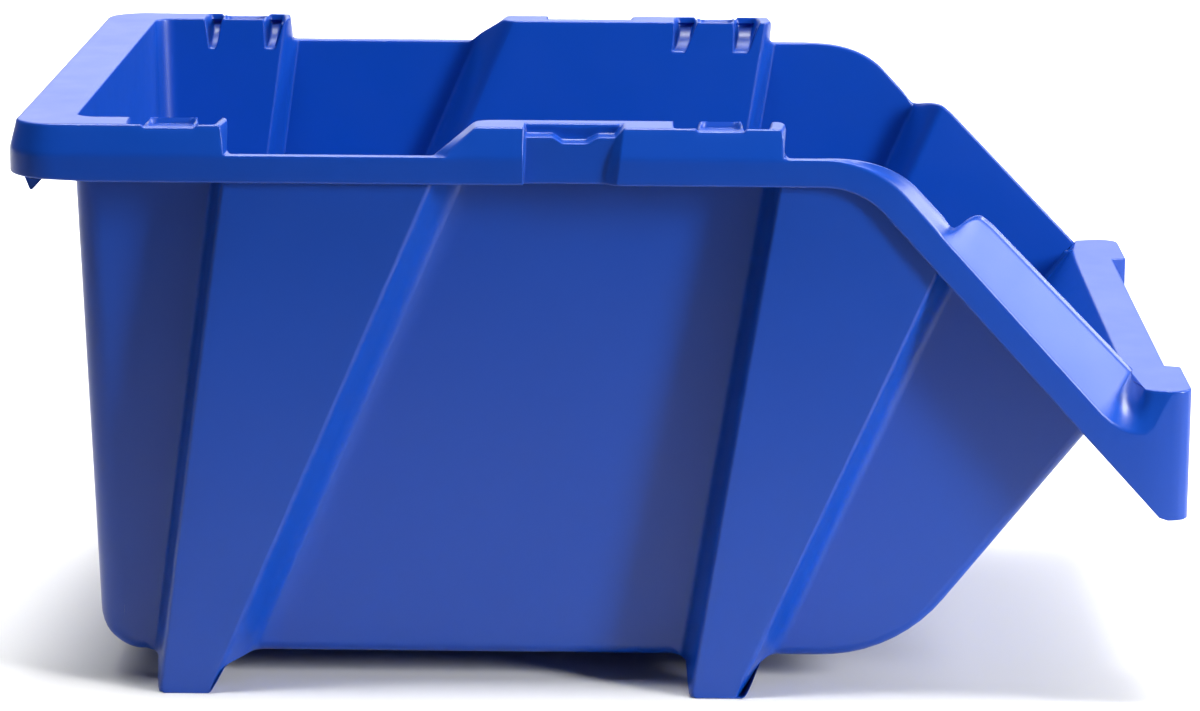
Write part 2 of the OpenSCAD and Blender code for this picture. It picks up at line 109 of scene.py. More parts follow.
def ramp(q, run, w, w_end=None):
    """0 to 1 over run, centred on 0, with ends rounded over w, the second over w_end if that is given."""
    return (soft(q + run / 2, w) - soft(q - run / 2, w if w_end is None else w_end)) / run


def step(q, w):
    """Smooth 0 to 1 over a width w centred on 0."""
    t = np.clip(q / w + 0.5, 0, 1)
    return t * t * (3 - 2 * t)


def jog_shift(jog, lv):
    """How far a jog moves along the side when the wall is offset inwards by its thickness."""
    depth = mix(COLUMN_LOW, COLUMN_TOP, lv) - mix(PANEL_LOW, PANEL_TOP, lv)
    run, sign = jog[2], jog[3]
    length = np.sqrt(run ** 2 + depth ** 2)
    nx, ny = sign * depth / length, run / length
    return WALL * nx / (1 + ny)


def wall_y(x, z, inside):
    """Distance of a side wall's surface from the middle of the bin."""
    lv = level(z)
    panel, column = mix(PANEL_LOW, PANEL_TOP, lv), mix(COLUMN_LOW, COLUMN_TOP, lv)
    part = 0.0
    for jog in JOGS:
        centre = mix(jog[0], jog[1], lv) + (jog_shift(jog, lv) if inside else 0)
        at_panel = COVE_ROUND[jog[3]]
        first, second = (at_panel, JOG_ROUND) if jog[3] > 0 else (JOG_ROUND, at_panel)
        part = part + jog[3] * ramp(x - centre, jog[2], first, second)
    return panel + (column - panel) * part - (WALL if inside else 0)


def rear_x(z):
    return REAR_TOP_X + REAR_DRAFT * (1 - level(z))


# ---------------------------------------------------------------- rim line, seen from the side
SLOPE_A = math.radians(47.5)
CROWN_R = 55.0                             # turn from the level rim to the slope
TANGENT = CROWN_R * math.tan(SLOPE_A / 2)
SLOPE_X = CROWN_X + TANGENT
RIM_START = REAR_TOP_X + CORNER_R          # where the straight side begins, on the inside
LEVEL_LEN = CROWN_X - RIM_START
CROWN_LEN = CROWN_R * SLOPE_A
LIP_RISE = 22.0                            # the low line runs this far under the lip
FOOT_R = 30.0                              # concave turn from the slope to the lip
SHOULDER_Z = LIP_Z - LIP_RISE
SHOULDER_X = SLOPE_X + (LOW_RIM - SHOULDER_Z) / math.tan(SLOPE_A)
FOOT_TANGENT = FOOT_R * math.tan(SLOPE_A / 2)
SLOPE_END_X = SHOULDER_X - FOOT_TANGENT * math.cos(SLOPE_A)
SLOPE_LEN = (SLOPE_END_X - (SLOPE_X + TANGENT * math.cos(SLOPE_A))) / math.cos(SLOPE_A)
U_CROWN = LEVEL_LEN
U_SLOPE = U_CROWN + CROWN_LEN
U_END = U_SLOPE + SLOPE_LEN


def rim_line(u):
    """Point (x, z) and normal (x, z) of the low rim line at arc length u from the rear corner."""
    if u <= U_CROWN:
        return np.array([RIM_START + u, LOW_RIM]), np.array([0.0, 1.0])
    if u <= U_SLOPE:
        a = (u - U_CROWN) / CROWN_R
        n = np.array([math.sin(a), math.cos(a)])
        return np.array([CROWN_X, LOW_RIM - CROWN_R]) + CROWN_R * n, n
    n = np.array([math.sin(SLOPE_A), math.cos(SLOPE_A)])
    d = np.array([math.cos(SLOPE_A), -math.sin(SLOPE_A)])
    start = np.array([CROWN_X, LOW_RIM - CROWN_R]) + CROWN_R * n
    return start + (u - U_SLOPE) * d, n


# ---------------------------------------------------------------- underside line: heel, floor, hopper
HOPPER_A = math.radians(52.2)
HOPPER_R = 80.0                            # turn from the floor to the hopper
HOPPER_BACK = 26.0                         # from the front of the ears to the top of the hopper
HOPPER_X = HALF_L - HOPPER_BACK - (LIP_Z - FLOOR_Z) / math.tan(HOPPER_A)
HEEL_X = rear_x(FLOOR_Z + HEEL_R) + HEEL_R
BEND_X = HOPPER_X - HOPPER_R * math.tan(HOPPER_A / 2)
S_HEEL = HEEL_R * math.pi / 4
S_BEND = S_HEEL + BEND_X - HEEL_X
S_LINE = S_BEND + HOPPER_R * HOPPER_A
HOPPER_END_Z = LIP_Z - 9.0                 # the hopper sheet meets the lip's edge here
S_END = S_LINE + (HOPPER_END_Z - FLOOR_Z - HOPPER_R * (1 - math.cos(HOPPER_A))) / math.sin(HOPPER_A)


def underside(s):
    """Point (x, z) and inward normal of the underside at arc length s from the middle of the heel."""
    if s <= S_HEEL:
        a = 1.25 * math.pi + s / HEEL_R
        n = -np.array([math.cos(a), math.sin(a)])
        return np.array([HEEL_X, FLOOR_Z + HEEL_R]) - HEEL_R * n, n
    if s <= S_BEND:
        return np.array([HEEL_X + s - S_HEEL, FLOOR_Z]), np.array([0.0, 1.0])
    a = min((s - S_BEND) / HOPPER_R, HOPPER_A)
    n = np.array([-math.sin(a), math.cos(a)])
    p = np.array([BEND_X, FLOOR_Z + HOPPER_R]) - HOPPER_R * n
    return p + max(s - S_LINE, 0) * np.array([math.cos(HOPPER_A), math.sin(HOPPER_A)]), n


# ---------------------------------------------------------------- feet, drawn down out of the floor
FOOT_H = FLOOR_Z
# x at the floor and at the sole of a foot's rear face, then at the sole and at the floor of its front face
FEET = [(-230.8, -229.0, -201.5, -193.5), (44.2, 46.4, 75.0, 84.0)]
FOOT_IN = HALF_W - 30.0                    # inner face of the feet
FOOT_FLANK = 2.0                           # run of that face
FOOT_ROUND = 1.3


def foot_drop(x, y, inside):
    """How far the floor drops at a foot."""
    shrink = WALL if inside else 0.0
    drop = 0.0
    for a, b, c, d in FEET:
        rise = ramp(x - (a + b) / 2 - shrink, b - a, FOOT_ROUND)
        fall = 1 - ramp(x - (c + d) / 2 + shrink, d - c, FOOT_ROUND)
        drop = drop + np.clip(rise + fall - 1, 0, 1)
    across = ramp(np.abs(y) - FOOT_IN - shrink, FOOT_FLANK, FOOT_ROUND)
    return FOOT_H * drop * across


# ---------------------------------------------------------------- stations along the side
SLOPE_REACH = 24.0                         # reach(u) on the slope
KEY_MARGIN = 1.5                           # stations beside a column edge, for its roundings
HOOK_MARGIN = 4.0                          # finer stations this far beyond the hook of the slope block
STATION_MIN, STATION_MAX = 0.4, 4.0        # least and greatest distance between stations


def blend_in(t):
    t = np.clip(t, 0, 1)
    return t * t * (3 - 2 * t)


def reach(u):
    """Distance from the low line to the line where the inner ends of the stations are laid out."""
    return mix(BLOCK_H, SLOPE_REACH, blend_in((u - U_CROWN) / CROWN_LEN))


def guide(u):
    p, n = rim_line(u)
    return p + reach(u) * n


def key_pairs():
    """Pairs (u on the rim, s on the underside) that keep the stations on the column edges."""
    pairs = [(0.0, 0.0)]
    for low, high, run, _ in JOGS:
        slant = (high - low) / (TOP - FLOOR_Z)
        for edge in (-run / 2 - KEY_MARGIN, run / 2 + KEY_MARGIN):
            x_low = low + edge + slant * SHARP_R
            u = low + edge + slant * (TOP - FLOOR_Z) - RIM_START
            if u > U_CROWN:            # the edge runs out on the slope
                grid = np.linspace(U_CROWN, U_END, 4000)
                gap = [p[0] - (low + edge + slant * (p[1] - FLOOR_Z)) for p in map(guide, grid)]
                u = float(grid[int(np.argmin(np.abs(gap)))])
            pairs.append((u, x_low - HEEL_X + S_HEEL))
    pairs.append((U_END, S_END))
    return pairs


KEYS = key_pairs()
HOOK_A, HOOK_B = KEYS[7][0], KEYS[8][0]    # the last column edge, where the slope block begins
# stretches of the rim that carry small features: from, to, spacing
FINE = [(-240, -184, 0.9), (-84, -56, 1.0), (-41, -34, 0.7), (-27, 3, 1.0), (3, 15, 0.8), (34, 97, 0.9)]


def side_stations():
    keys = [k[0] for k in KEYS]
    marks = list(keys)
    fine = [(a - RIM_START, b - RIM_START, gap) for a, b, gap in FINE]
    for a, b, gap in fine + [(HOOK_A - HOOK_MARGIN, HOOK_B + HOOK_MARGIN, 1.0)]:
        marks += list(np.linspace(a, b, int((b - a) / gap) + 1))
    out = [0.0]
    for m in sorted(v for v in marks if 0 < v <= U_END):
        if m - out[-1] < STATION_MIN:
            if m in keys:
                out[-1] = m
            continue
        gaps = max(1, int(math.ceil((m - out[-1]) / STATION_MAX)))
        start = out[-1]
        out += [start + (m - start) * (k + 1) / gaps for k in range(gaps)]
    return np.array(out)


U = side_stations()
S = np.interp(U, [k[0] for k in KEYS], [k[1] for k in KEYS])

N_PHI = 18                                  # steps round a corner and round a bottom edge
PHI = np.linspace(math.pi / 2, 0, N_PHI + 1)
# part of the half width at each row across the floor, closer together beside the feet
F = np.array([1, .97, .945, .925, .915, .905, .893, .882, .875, .868, .86, .84, .8, .7, .55, .36, .18, 0])
# part of the way down the wall at each row, closer together near the bottom edge
TAU = np.concatenate([np.linspace(0, .8, 19), 1 - .2 * (1 - np.linspace(0, 1, 12)[1:]) ** 1.3])
N_TOP, N_IN = 20, 9                         # rows on the rim's top, and on the wall just under it
JOIN_D = -16.0                              # depth under the low line where rim and wall meet


# ---------------------------------------------------------------- rim section
def bezier(a, b, c, n):
    t = np.linspace(0, 1, n)[:, None]
    return (1 - t) ** 2 * a + 2 * t * (1 - t) * b + t * t * c


def line(a, b, n):
    """n points strictly between a and b."""
    t = np.linspace(0, 1, n + 2)[1:-1, None]
    return a + (b - a) * t


def toward(a, b, r):
    """Point at r from a towards b, never past 45 % of the way."""
    v = b - a
    return a + v * min(r / max(np.linalg.norm(v), 1e-6), 0.45)


def polyline(points, breaks, n):
    """n points along a polyline, whose corners sit at the given fractions of the count."""
    t = np.linspace(0, 1, n)
    return np.stack([np.interp(t, breaks, [q[k] for q in points]) for k in range(len(points[0]))], 1)


SKIRT_LIP = {True: 1.2, False: 1.8}         # the skirt's edge ends this far in, face side and back side
SKIRT_ROUND = 1.2


def rim_rows(edge, sb, s, o, tops, breaks, i, j, r_s=2.0, r_o=1.5, r_i=1.3):
    """Rows from the skirt's edge over the rim to the start of the inner wall."""
    i0, i1 = toward(i, tops[-1], r_i), toward(i, j, r_i)
    o1 = toward(o, tops[0], r_o)
    return np.concatenate([
        bezier(edge, sb, toward(sb, s, SKIRT_ROUND), 4),
        line(toward(sb, s, SKIRT_ROUND), toward(s, sb, r_s), 3),
        bezier(toward(s, sb, r_s), s, toward(s, o, r_s), 5),
        line(toward(s, o, r_s), toward(o, s, r_o), 4),
        bezier(toward(o, s, r_o), o, o1, 5)[:-1],
        polyline([o1] + tops + [i0], [0] + breaks + [1], N_TOP),
        bezier(i0, i, i1, 4)[1:]])


OUT_ROWS = 4 + 3 + 5 + 4 + 4                # rows outside the top face
RIM_ROWS = OUT_ROWS + N_TOP + 3

# ---------------------------------------------------------------- blocks on the level rim
BLOCK_LEAN = 4.0                            # a block's outer face leans in by this
LOW_LEAN = 1.0                              # and the low rim's by this
REAR_END, FRONT_END = -190.2, 91.4          # front ends of the rear and of the front block
REAR_SIDE = -130.0                          # between the rear and the centre block
CENTRE_FOOT, CENTRE_TOP = -77.6, -62.7      # the centre block rises along the column crease
CENTRE_ROUND = 1.3
END_ROUND, END_FILLET, END_SHARE = 2.6, 3.5, 0.12         # a block's end; the fillet's share of its height
RECESS_IN, LEDGE_D, UPRIGHT_E = 5.0, 10.0, 16.0           # hand recess: skirt, ledge and upright
RECESS_SOFT, RECESS_RAMP = 1.6, 4.0         # its rear end, and the run of its front end
RECESS_BACK, RECESS_SLANT = 4.5, 4.0        # its front end stands back by this and slants by this
SLOPE_RISE = 0.63                           # inward rise of the sloping rim's face
SLOPE_BASE = 2.0                            # height of that face at the skirt
RAIL_W, RAIL_H = 4.0, 1.7                   # raised rail along the slope's inner edge
# scoop, foot seat and second scoop in the rear and in the front block, along the rim
SEATS = [(-237.5, -230.2, -203.2, -195.5), (37.5, 48.0, 72.0, 83.0)]
SEAT_DEPTH, SEAT_RAIL, SEAT_ROUND, SEAT_SOFT = 4.0, 2.0, 4.0, 1.4
SEAT_DIP = 1.3                              # the outer rail is lower beside the seat
SCOOP_D, SCOOP_SOFT = 17.0, 3.2
NOTCH = (-24.0, -18.5, -6.5, -1.0, 3.2)     # in the ledge: x of its two flanks, then its depth


def window(x, a, b, w=1.2):
    return step(x - a, w) * (1 - step(x - b, w))


def block_end(x, end):
    """1 before end and 0 after it, with a rounded shoulder and a small fillet at the foot."""
    t = np.clip((end - x) / END_ROUND, 0, 1)
    s = np.clip((x - end) / END_FILLET, 0, 1)
    fillet = 1 if x <= end else (1 - s) ** 2
    return (1 - END_SHARE) * (1 - (1 - t) ** 3) ** (1 / 3) + END_SHARE * fillet


def block_height(x):
    if x < REAR_SIDE:
        return BLOCK_H * block_end(x, REAR_END)
    rise = ramp(x - (CENTRE_FOOT + CENTRE_TOP) / 2, CENTRE_TOP - CENTRE_FOOT, CENTRE_ROUND)
    return BLOCK_H * float(rise) * block_end(x, FRONT_END)


def recess_weight(x, d):
    """1 in the hand recess. Its front end slants forward with height."""
    front = RECESS_B - RECESS_BACK + RECESS_SLANT * (d + SKIRT_D) / (BLOCK_H + SKIRT_D)
    past = np.clip((x - front + RECESS_RAMP / 2) / RECESS_RAMP, 0, 1)
    return step(x - RECESS_A, RECESS_SOFT) * (1 - past)


def notch_depth(x):
    a, b, c, d, h = NOTCH
    return h * (ramp(x - (a + b) / 2, b - a, 0.8) - ramp(x - (c + d) / 2, d - c, 0.8))


def jog_offset(x, z):
    """Distance along the side between the outer and the inner station line, near a column edge."""
    lv, out = level(z), 0.0
    for jog in JOGS:
        near = max(0.0, 1 - max(0.0, abs(x - mix(jog[0], jog[1], lv)) - jog[2] / 2) / 10)
        out += near * float(jog_shift(jog, lv))
    return out


class Side:
    """One station of the side: its rim section is drawn in (e, d), e inwards from the skirt face."""

    def __init__(self, u, s):
        self.u = u
        self.low, self.n = rim_line(u)
        c, n = underside(s)
        radius = edge_radius(s)
        far = guide(u)
        self.low_shift = jog_offset(c[0], FLOOR_Z)
        self.base = {False: c + n * radius,
                     True: c + n * (WALL + max(radius - WALL, SHARP_R)) + np.array([self.low_shift, 0])}
        self.v, self.d_base = {}, {}
        for inside, b in self.base.items():
            ray = far + np.array([jog_offset(*far) if inside else 0.0, 0.0]) - b
            across = float(ray @ self.n)
            self.v[inside] = ray / across
            self.d_base[inside] = reach(u) - across
        self.slope = float(blend_in((u - U_CROWN) / CROWN_LEN))

    def wall_xz(self, d, inside):
        return self.base[inside] + (d - self.d_base[inside]) * self.v[inside]

    def wall_e(self, d, inside):
        x, z = self.wall_xz(d, inside)
        return HALF_W - float(wall_y(x, z, inside))

    def at(self, e, d, inside):
        """Point of the section. The station line goes from the skirt to the wall."""
        t = min(max(e / max(self.wall_e(d, inside), 1.0), 0.0), 1.0)
        xz = (1 - t) * (self.low + d * self.n) + t * self.wall_xz(d, inside)
        return np.array([xz[0], e - HALF_W, xz[1]])

    def rows(self, inside):
        """inside is True for the face side (rim top and inside of the bin)."""
        x, h, sl = self.low[0], block_height(self.low[0]) if self.u < U_CROWN else 0.0, self.slope
        e_low = self.wall_e(0.0, True)
        d_i = mix(h, SLOPE_BASE + SLOPE_RISE * e_low, sl)
        for _ in range(3):
            e_i = self.wall_e(d_i, True)
            d_i = mix(h, SLOPE_BASE + SLOPE_RISE * e_i, sl)
        full = h / BLOCK_H
        o = np.array([mix(mix(LOW_LEAN, BLOCK_LEAN, full), e_i - RAIL_W, sl), mix(h, d_i - RAIL_H, sl)])
        sb, s, i = np.array([0.0, -SKIRT_D]), np.array([0.0, 0.0]), np.array([e_i, d_i])
        mid = np.array([mix(mix(o[0], e_i, .3), e_i - RAIL_W + 0.9, sl), d_i])
        if not inside:
            e_i = self.wall_e(d_i - WALL, False)
            cap = e_i - 0.12
            sb = sb + [WALL, 0]
            s = np.array([min(WALL, cap), mix(WALL * (full - 1), -1.7, sl)])
            o = np.array([min(o[0] + mix(2.6, 1.0, sl), cap), mix(o[1] - WALL, o[1] - 2.6, sl)])
            i = np.array([e_i, d_i - WALL])
            mid = mix(o, i, .3)
        d_join = max(JOIN_D, mix(i[1], self.d_base[inside],
                                 mix(.5, 1.0, blend_in((self.u - U_END + 40) / 40))))
        j = np.array([self.wall_e(d_join, inside), d_join])
        edge = np.array([SKIRT_LIP[inside], -SKIRT_D])
        section = rim_rows(edge, sb, s, o, [mid], [.3], i, j, r_s=mix(2.0, 1.2, sl))
        if self.u < U_CROWN:
            section = self.recess(section, inside, i, j)
            section, start = self.scoops(section, inside, i)
        else:
            start = section[-1][1]
        inner = [[self.wall_e(d, inside), d] for d in line(np.array([start]), np.array([d_join]), N_IN)[:, 0]]
        inner.append([self.wall_e(d_join, inside), d_join])
        points = [self.at(e, d, inside) for e, d in section]
        points += [self.wall_point(d, inside) for _, d in inner]
        return np.array(points), d_join

    def wall_point(self, d, inside):
        x, z = self.wall_xz(d, inside)
        return np.array([x, -float(wall_y(x, z, inside)), z])

    def recess(self, section, inside, i, j):
        """Blend towards the hand recess: skirt set back, notched ledge and an upright behind it."""
        x = self.low[0]
        if x < RECESS_A - 3 or x > RECESS_B + 5:
            return section
        t = 0.0 if inside else WALL
        ledge = LEDGE_D - t - notch_depth(x)
        sb, s = np.array([RECESS_IN + t, -SKIRT_D]), np.array([RECESS_IN + t, 0.0])
        o = np.array([RECESS_IN + t, ledge])
        m = [np.array([UPRIGHT_E + t * .8, ledge]), np.array([UPRIGHT_E + t * .8 + .4, BLOCK_H - t])]
        edge = np.array([RECESS_IN + SKIRT_LIP[inside], -SKIRT_D])
        other = rim_rows(edge, sb, s, o, m, [.5, .7], i, j, r_o=1.0)
        w = recess_weight(x, section[:, 1])[:, None]
        return section + (other - section) * w

    def scoops(self, section, inside, i):
        """Blend towards the scoops beside a foot seat, and sink the seat itself."""
        x = self.low[0]
        start = section[-1][1]
        for a, b, c, d in SEATS:
            if not a - 2 < x < d + 2:
                continue
            scoop = float(window(x, a, b, SCOOP_SOFT) + window(x, c, d, SCOOP_SOFT))
            e_end = self.wall_e(BLOCK_H - SCOOP_D, inside)
            n = N_TOP + 3
            theta = np.linspace(0, math.pi / 2, n)
            e0, d0 = (BLOCK_LEAN + 1.4, BLOCK_H - 0.4) if inside else (BLOCK_LEAN + .6, BLOCK_H - 6.0)
            depth = d0 - (BLOCK_H - SCOOP_D) + (0 if inside else 3.0)
            arc = np.stack([e_end - (e_end - e0) * np.cos(theta), d0 - depth * np.sin(theta)], 1)
            tail = section[OUT_ROWS:] + (arc - section[OUT_ROWS:]) * scoop
            seat = float(window(x, b, c, 0.8))
            if inside and seat > 0:
                hx, he = (c - b) / 2 - SEAT_RAIL, (e_end - BLOCK_LEAN) / 2 - SEAT_RAIL - .4
                qx = abs(x - (b + c) / 2) - hx + SEAT_ROUND
                qe = np.abs(tail[:, 0] - (e_end + BLOCK_LEAN) / 2 - .2) - he + SEAT_ROUND
                # distance outside the seat's outline, a rectangle with round corners
                gap = np.hypot(np.maximum(qx, 0), np.maximum(qe, 0)) + np.minimum(np.maximum(qx, qe), 0)
                tail[:, 1] -= SEAT_DEPTH * (1 - step(gap - SEAT_ROUND, SEAT_SOFT))
            section = np.concatenate([section[:OUT_ROWS], tail])
            dip = SEAT_DIP * seat * (1 if inside else 0)
            near = np.clip((section[:, 1] - BLOCK_H + 4) / 4, 0, 1) * np.clip((9 - section[:, 0]) / 3, 0, 1)
            section[:, 1] -= dip * near
            start = section[-1][1]
        return section, start


SHARP_EDGES = [(-236.0, -184.0), (40.5, 87.0)]            # under the columns, along x
SHARP_SOFT = 7.0


def edge_radius(s):
    """Outer radius of the edge between side wall and underside."""
    base = mix(HEEL_EDGE_R, EDGE_R, blend_in(s / S_HEEL))
    x = underside(s)[0][0]
    column = sum(window(x, a, b, SHARP_SOFT) for a, b in SHARP_EDGES)
    return float(mix(base, SHARP_R, column))


# ---------------------------------------------------------------- wall, bottom edge and underside
def strip_point(c, n, radius, phi, inside):
    """Point of the rounded edge: phi is 0 on the underside and 90 degrees on the side wall."""
    r = max(radius - WALL, SHARP_R) if inside else radius
    xz = c + n * ((WALL if inside else 0) + r * (1 - math.cos(phi)))
    return np.array([xz[0], -(float(wall_y(xz[0], xz[1], inside)) - r * (1 - math.sin(phi))), xz[1]])


def lowered(p, inside):
    return p - np.array([0, 0, float(foot_drop(p[0], p[1], inside))])


def under_rows(s, inside, offset=0.0):
    """Rows round the bottom edge and across the underside to the middle of the bin."""
    c, n = underside(s)
    c = c + np.array([offset if inside else 0.0, 0.0])
    radius = edge_radius(s)
    rows = [lowered(strip_point(c, n, radius, phi, inside), inside) for phi in PHI[1:]]
    edge = strip_point(c, n, radius, 0.0, inside)
    rows += [lowered(np.array([edge[0], edge[1] * f, edge[2]]), inside) for f in F[1:]]
    return rows


def rear_line(tau):
    """Point, inward normal and corner radius down the rear wall to the middle of the heel."""
    z_join, z_heel = LOW_RIM + JOIN_D, FLOOR_Z + HEEL_R
    straight = z_join - z_heel
    run = tau * (straight + S_HEEL)
    if run <= straight:
        z = z_join - run
        return np.array([rear_x(z), z]), np.array([1.0, 0.0]), CORNER_R
    a = math.pi + (run - straight) / HEEL_R
    n = -np.array([math.cos(a), math.sin(a)])
    t = (run - straight) / S_HEEL
    return np.array([HEEL_X, z_heel]) - HEEL_R * n, n, float(mix(CORNER_R, HEEL_EDGE_R, blend_in(t)))


FOOT_TAU = 0.8                              # under this part of the wall it is drawn down to the sole


def side_column(k, inside):
    st = Side(U[k], S[k])
    rows, d_join = st.rows(inside)
    rows = list(rows)
    if k == 0:
        for tau in TAU[1:]:
            rows.append(strip_point(*rear_line(tau), math.pi / 2, inside))
        return np.array(rows + under_rows(0.0, inside))
    start, end = st.wall_xz(d_join, inside), st.base[inside]
    drop = float(foot_drop(end[0], wall_y(end[0], end[1], inside), inside))
    for tau in TAU[1:]:
        x, z = start + (end - start) * tau
        z -= drop * max(0.0, (tau - FOOT_TAU) / (1 - FOOT_TAU))
        rows.append(np.array([x, -float(wall_y(x, z, inside)), z]))
    return np.array(rows + under_rows(S[k], inside, st.low_shift))


# ---------------------------------------------------------------- rear corner and rear rim
RIM_R = 24.0                                # the rim's outer corner, seen from above


def rear_outer(t):
    """Plan point of the rim's outer corner, t from 0 on the side to 1 on the rear."""
    a, arc = RIM_START + HALF_L - RIM_R, RIM_R * math.pi / 2
    inner_y = float(wall_y(RIM_START, TOP, False)) - CORNER_R
    c = HALF_W - RIM_R - inner_y
    run = t * (a + arc + c)
    if run < a:
        return np.array([RIM_START - run, -HALF_W])
    if run < a + arc:
        g = 1.5 * math.pi - (run - a) / RIM_R
        return np.array([-HALF_L + RIM_R, -HALF_W + RIM_R]) + RIM_R * np.array([math.cos(g), math.sin(g)])
    return np.array([-HALF_L, -HALF_W + RIM_R + run - a - arc])


def rear_wall_point(phi, f, z, inside):
    p = strip_point(np.array([rear_x(z), z]), np.array([1.0, 0.0]), CORNER_R, phi, inside)
    return np.array([p[0], p[1] * f, z])


def rear_column(phi, f, inside):
    outer = rear_outer(1 - phi / (math.pi / 2)) * np.array([1, f])
    top = rear_wall_point(phi, f, TOP, True)
    way = top[:2] - outer
    width = np.linalg.norm(way)
    way = way / width
    skirt = mix(REAR_SKIRT_Z, SKIRT_Z, (phi / (math.pi / 2)) ** 2)
    t = 0.0 if inside else WALL

    def at(e, z):
        return np.append(outer + way * e, z)
    sb, s = at(t, skirt), at(t, LOW_RIM)
    o = at(BLOCK_LEAN + t * .87, TOP - t)
    i = rear_wall_point(phi, f, TOP - t, inside)
    j = rear_wall_point(phi, f, LOW_RIM + JOIN_D, inside)
    edge = at(SKIRT_LIP[inside], skirt)
    rows = list(rim_rows(edge, sb, s, o, [mix(o, i, .3)], [.3], i, j))
    for z in np.append(line(np.array([rows[-1][2]]), np.array([j[2]]), N_IN)[:, 0], j[2]):
        rows.append(rear_wall_point(phi, f, z, inside))
    for tau in TAU[1:]:
        c, n, radius = rear_line(tau)
        p = strip_point(c, n, radius, phi, inside)
        rows.append(np.array([p[0], p[1] * f, p[2]]))
    return np.array(rows)


# ---------------------------------------------------------------- front corner, ear and lip
EAR_BEND_X, EAR_TURN_X, EAR_TURN_IN, EAR_R = HALF_L - 19.0, HALF_L - 8.0, 2.0, 8.0
PANEL_STEP, PANEL_ROUND = 2.0, 0.5
CREASE_X, CREASE_SLOPE = 279.0, 2.1        # where the crease up to the lip starts, and its rise
LIP_EDGE = 2.5                             # the crease stops this far under the lip
TURN_RUN = 24.0                            # the inner edge of the slope face turns to the ear over this
TURN_LEAN = 4.0                            # inward lean of the turn between the slope and the ear
EAR_LEAN = 0.05                            # and of the ear
TIP_ROUND = 2.5                            # where the slope's straight lower edge ends at the ear


def front_outer(t):
    """Plan point of the cheek and ear, t from 0 at the end of the slope to 1 on the front."""
    path = [(SLOPE_END_X, HALF_W), (EAR_BEND_X - 3, HALF_W), (EAR_BEND_X + 3, HALF_W - .5),
            (EAR_TURN_X, HALF_W - EAR_TURN_IN)]
    cx, cy = HALF_L - EAR_R, HALF_W - EAR_TURN_IN - EAR_R
    path += [(cx + EAR_R * math.sin(a), cy + EAR_R * math.cos(a)) for a in np.linspace(.2, math.pi / 2, 7)]
    path.append((HALF_L, -LAST_Y))
    path = np.array(path)
    dist = np.append(0, np.cumsum(np.linalg.norm(np.diff(path, axis=0), axis=1)))
    run = t * dist[-1]
    return np.array([np.interp(run, dist, path[:, 0]), -np.interp(run, dist, path[:, 1])])


LAST_Y = strip_point(*underside(S_END), EDGE_R, 0.0, True)[1]


def front_x(y):
    """Front face: ears stand proud of the label panel."""
    proud = float(ramp(abs(y) - EAR_IN - PANEL_STEP / 2, PANEL_STEP, PANEL_ROUND))
    return PANEL_X + (HALF_L - PANEL_X) * proud


def slide(p, z):
    """Moves a point along the hopper to height z."""
    return p + (z - p[2]) / math.tan(HOPPER_A) * np.array([1, 0, 0]) + np.array([0, 0, z - p[2]])


def front_column(phi, f, inside, last):
    """Rows at one place of the cheek, ear or label panel. last holds the end of the slope."""
    t = 1 - phi / (math.pi / 2)
    outer = front_outer(t)
    if f < 1:
        outer = np.array([front_x(LAST_Y * f), LAST_Y * f])
    out_x = outer[0]
    ahead = front_outer(min(t + .01, 1)) - front_outer(max(t - .01, 0))
    way = np.array([-ahead[1], ahead[0]]) / np.linalg.norm(ahead)
    if t == 1 or f < 1:
        way = np.array([-1.0, 0.0])
    w = 0.0 if inside else WALL
    rise = np.clip((out_x - SLOPE_END_X) / (FOOT_R * math.sin(SLOPE_A)), 0, 1) if f == 1 and t < 1 else 1.0
    # skirt edge: the straight lower edge of the slope runs on to the tip of the ear
    low_x = out_x - SKIRT_D * math.sin(SLOPE_A) * (1 - rise)
    low_z = LOW_RIM - (SKIRT_D + (low_x - SLOPE_X) * math.sin(SLOPE_A)) / math.cos(SLOPE_A)
    low_z = CHEEK_Z + float(soft(low_z - CHEEK_Z, TIP_ROUND))
    # shoulder: concave turn, level run, then up the slanting crease to the lip
    cx = SLOPE_END_X + FOOT_R * math.sin(SLOPE_A)
    s_z = SHOULDER_Z + FOOT_R - math.sqrt(max(FOOT_R ** 2 - max(cx - out_x, 0) ** 2, 0))
    s_z += max(out_x - CREASE_X, 0) * CREASE_SLOPE
    s_z = min(s_z, LIP_Z - LIP_EDGE)
    if f < 1 or t == 1:
        s_z = LIP_Z - LIP_EDGE
    o_e, o_x, o_z = last["e"], last["x"], last["z"]
    fade = 1 - float(blend_in((out_x - SLOPE_END_X) / TURN_RUN)) if f == 1 and t < 1 else 0.0
    flush = float(np.clip((s_z - SHOULDER_Z) / (LIP_RISE - 3), 0, 1)) if out_x > cx else 0.0
    o_in = mix(mix(TURN_LEAN, EAR_LEAN, flush), o_e, fade)
    o_pos = np.append(outer + way * (o_in + w), mix(LIP_Z, o_z, fade) - w)
    o_pos[0] += (o_x - SLOPE_END_X) * (1 - rise)
    sb = np.append(outer + way * w, low_z)
    sb[0] -= SKIRT_D * math.sin(SLOPE_A) * (1 - rise)
    s = np.append(outer + way * w, s_z - w * .6)
    edge = sb + np.append(way, 0) * (SKIRT_LIP[inside] - w)
    c, n = underside(S_END)
    j = strip_point(c, n, edge_radius(S_END), phi, inside)
    j = np.array([j[0], j[1] * f, j[2]])
    i = slide(j, LIP_Z - w)
    rail = mix(o_pos, i, .3)
    rail = rail + (mix(o_pos, i, last["mid"]) + [0, 0, last["lift"]] - rail) * (1 - rise) ** 2
    rows = list(rim_rows(edge, sb, s, o_pos, [rail], [.3], i, j, r_s=1.4, r_o=1.3))
    rows += list(line(rows[-1], j, N_IN)) + [j]
    return np.array(rows)


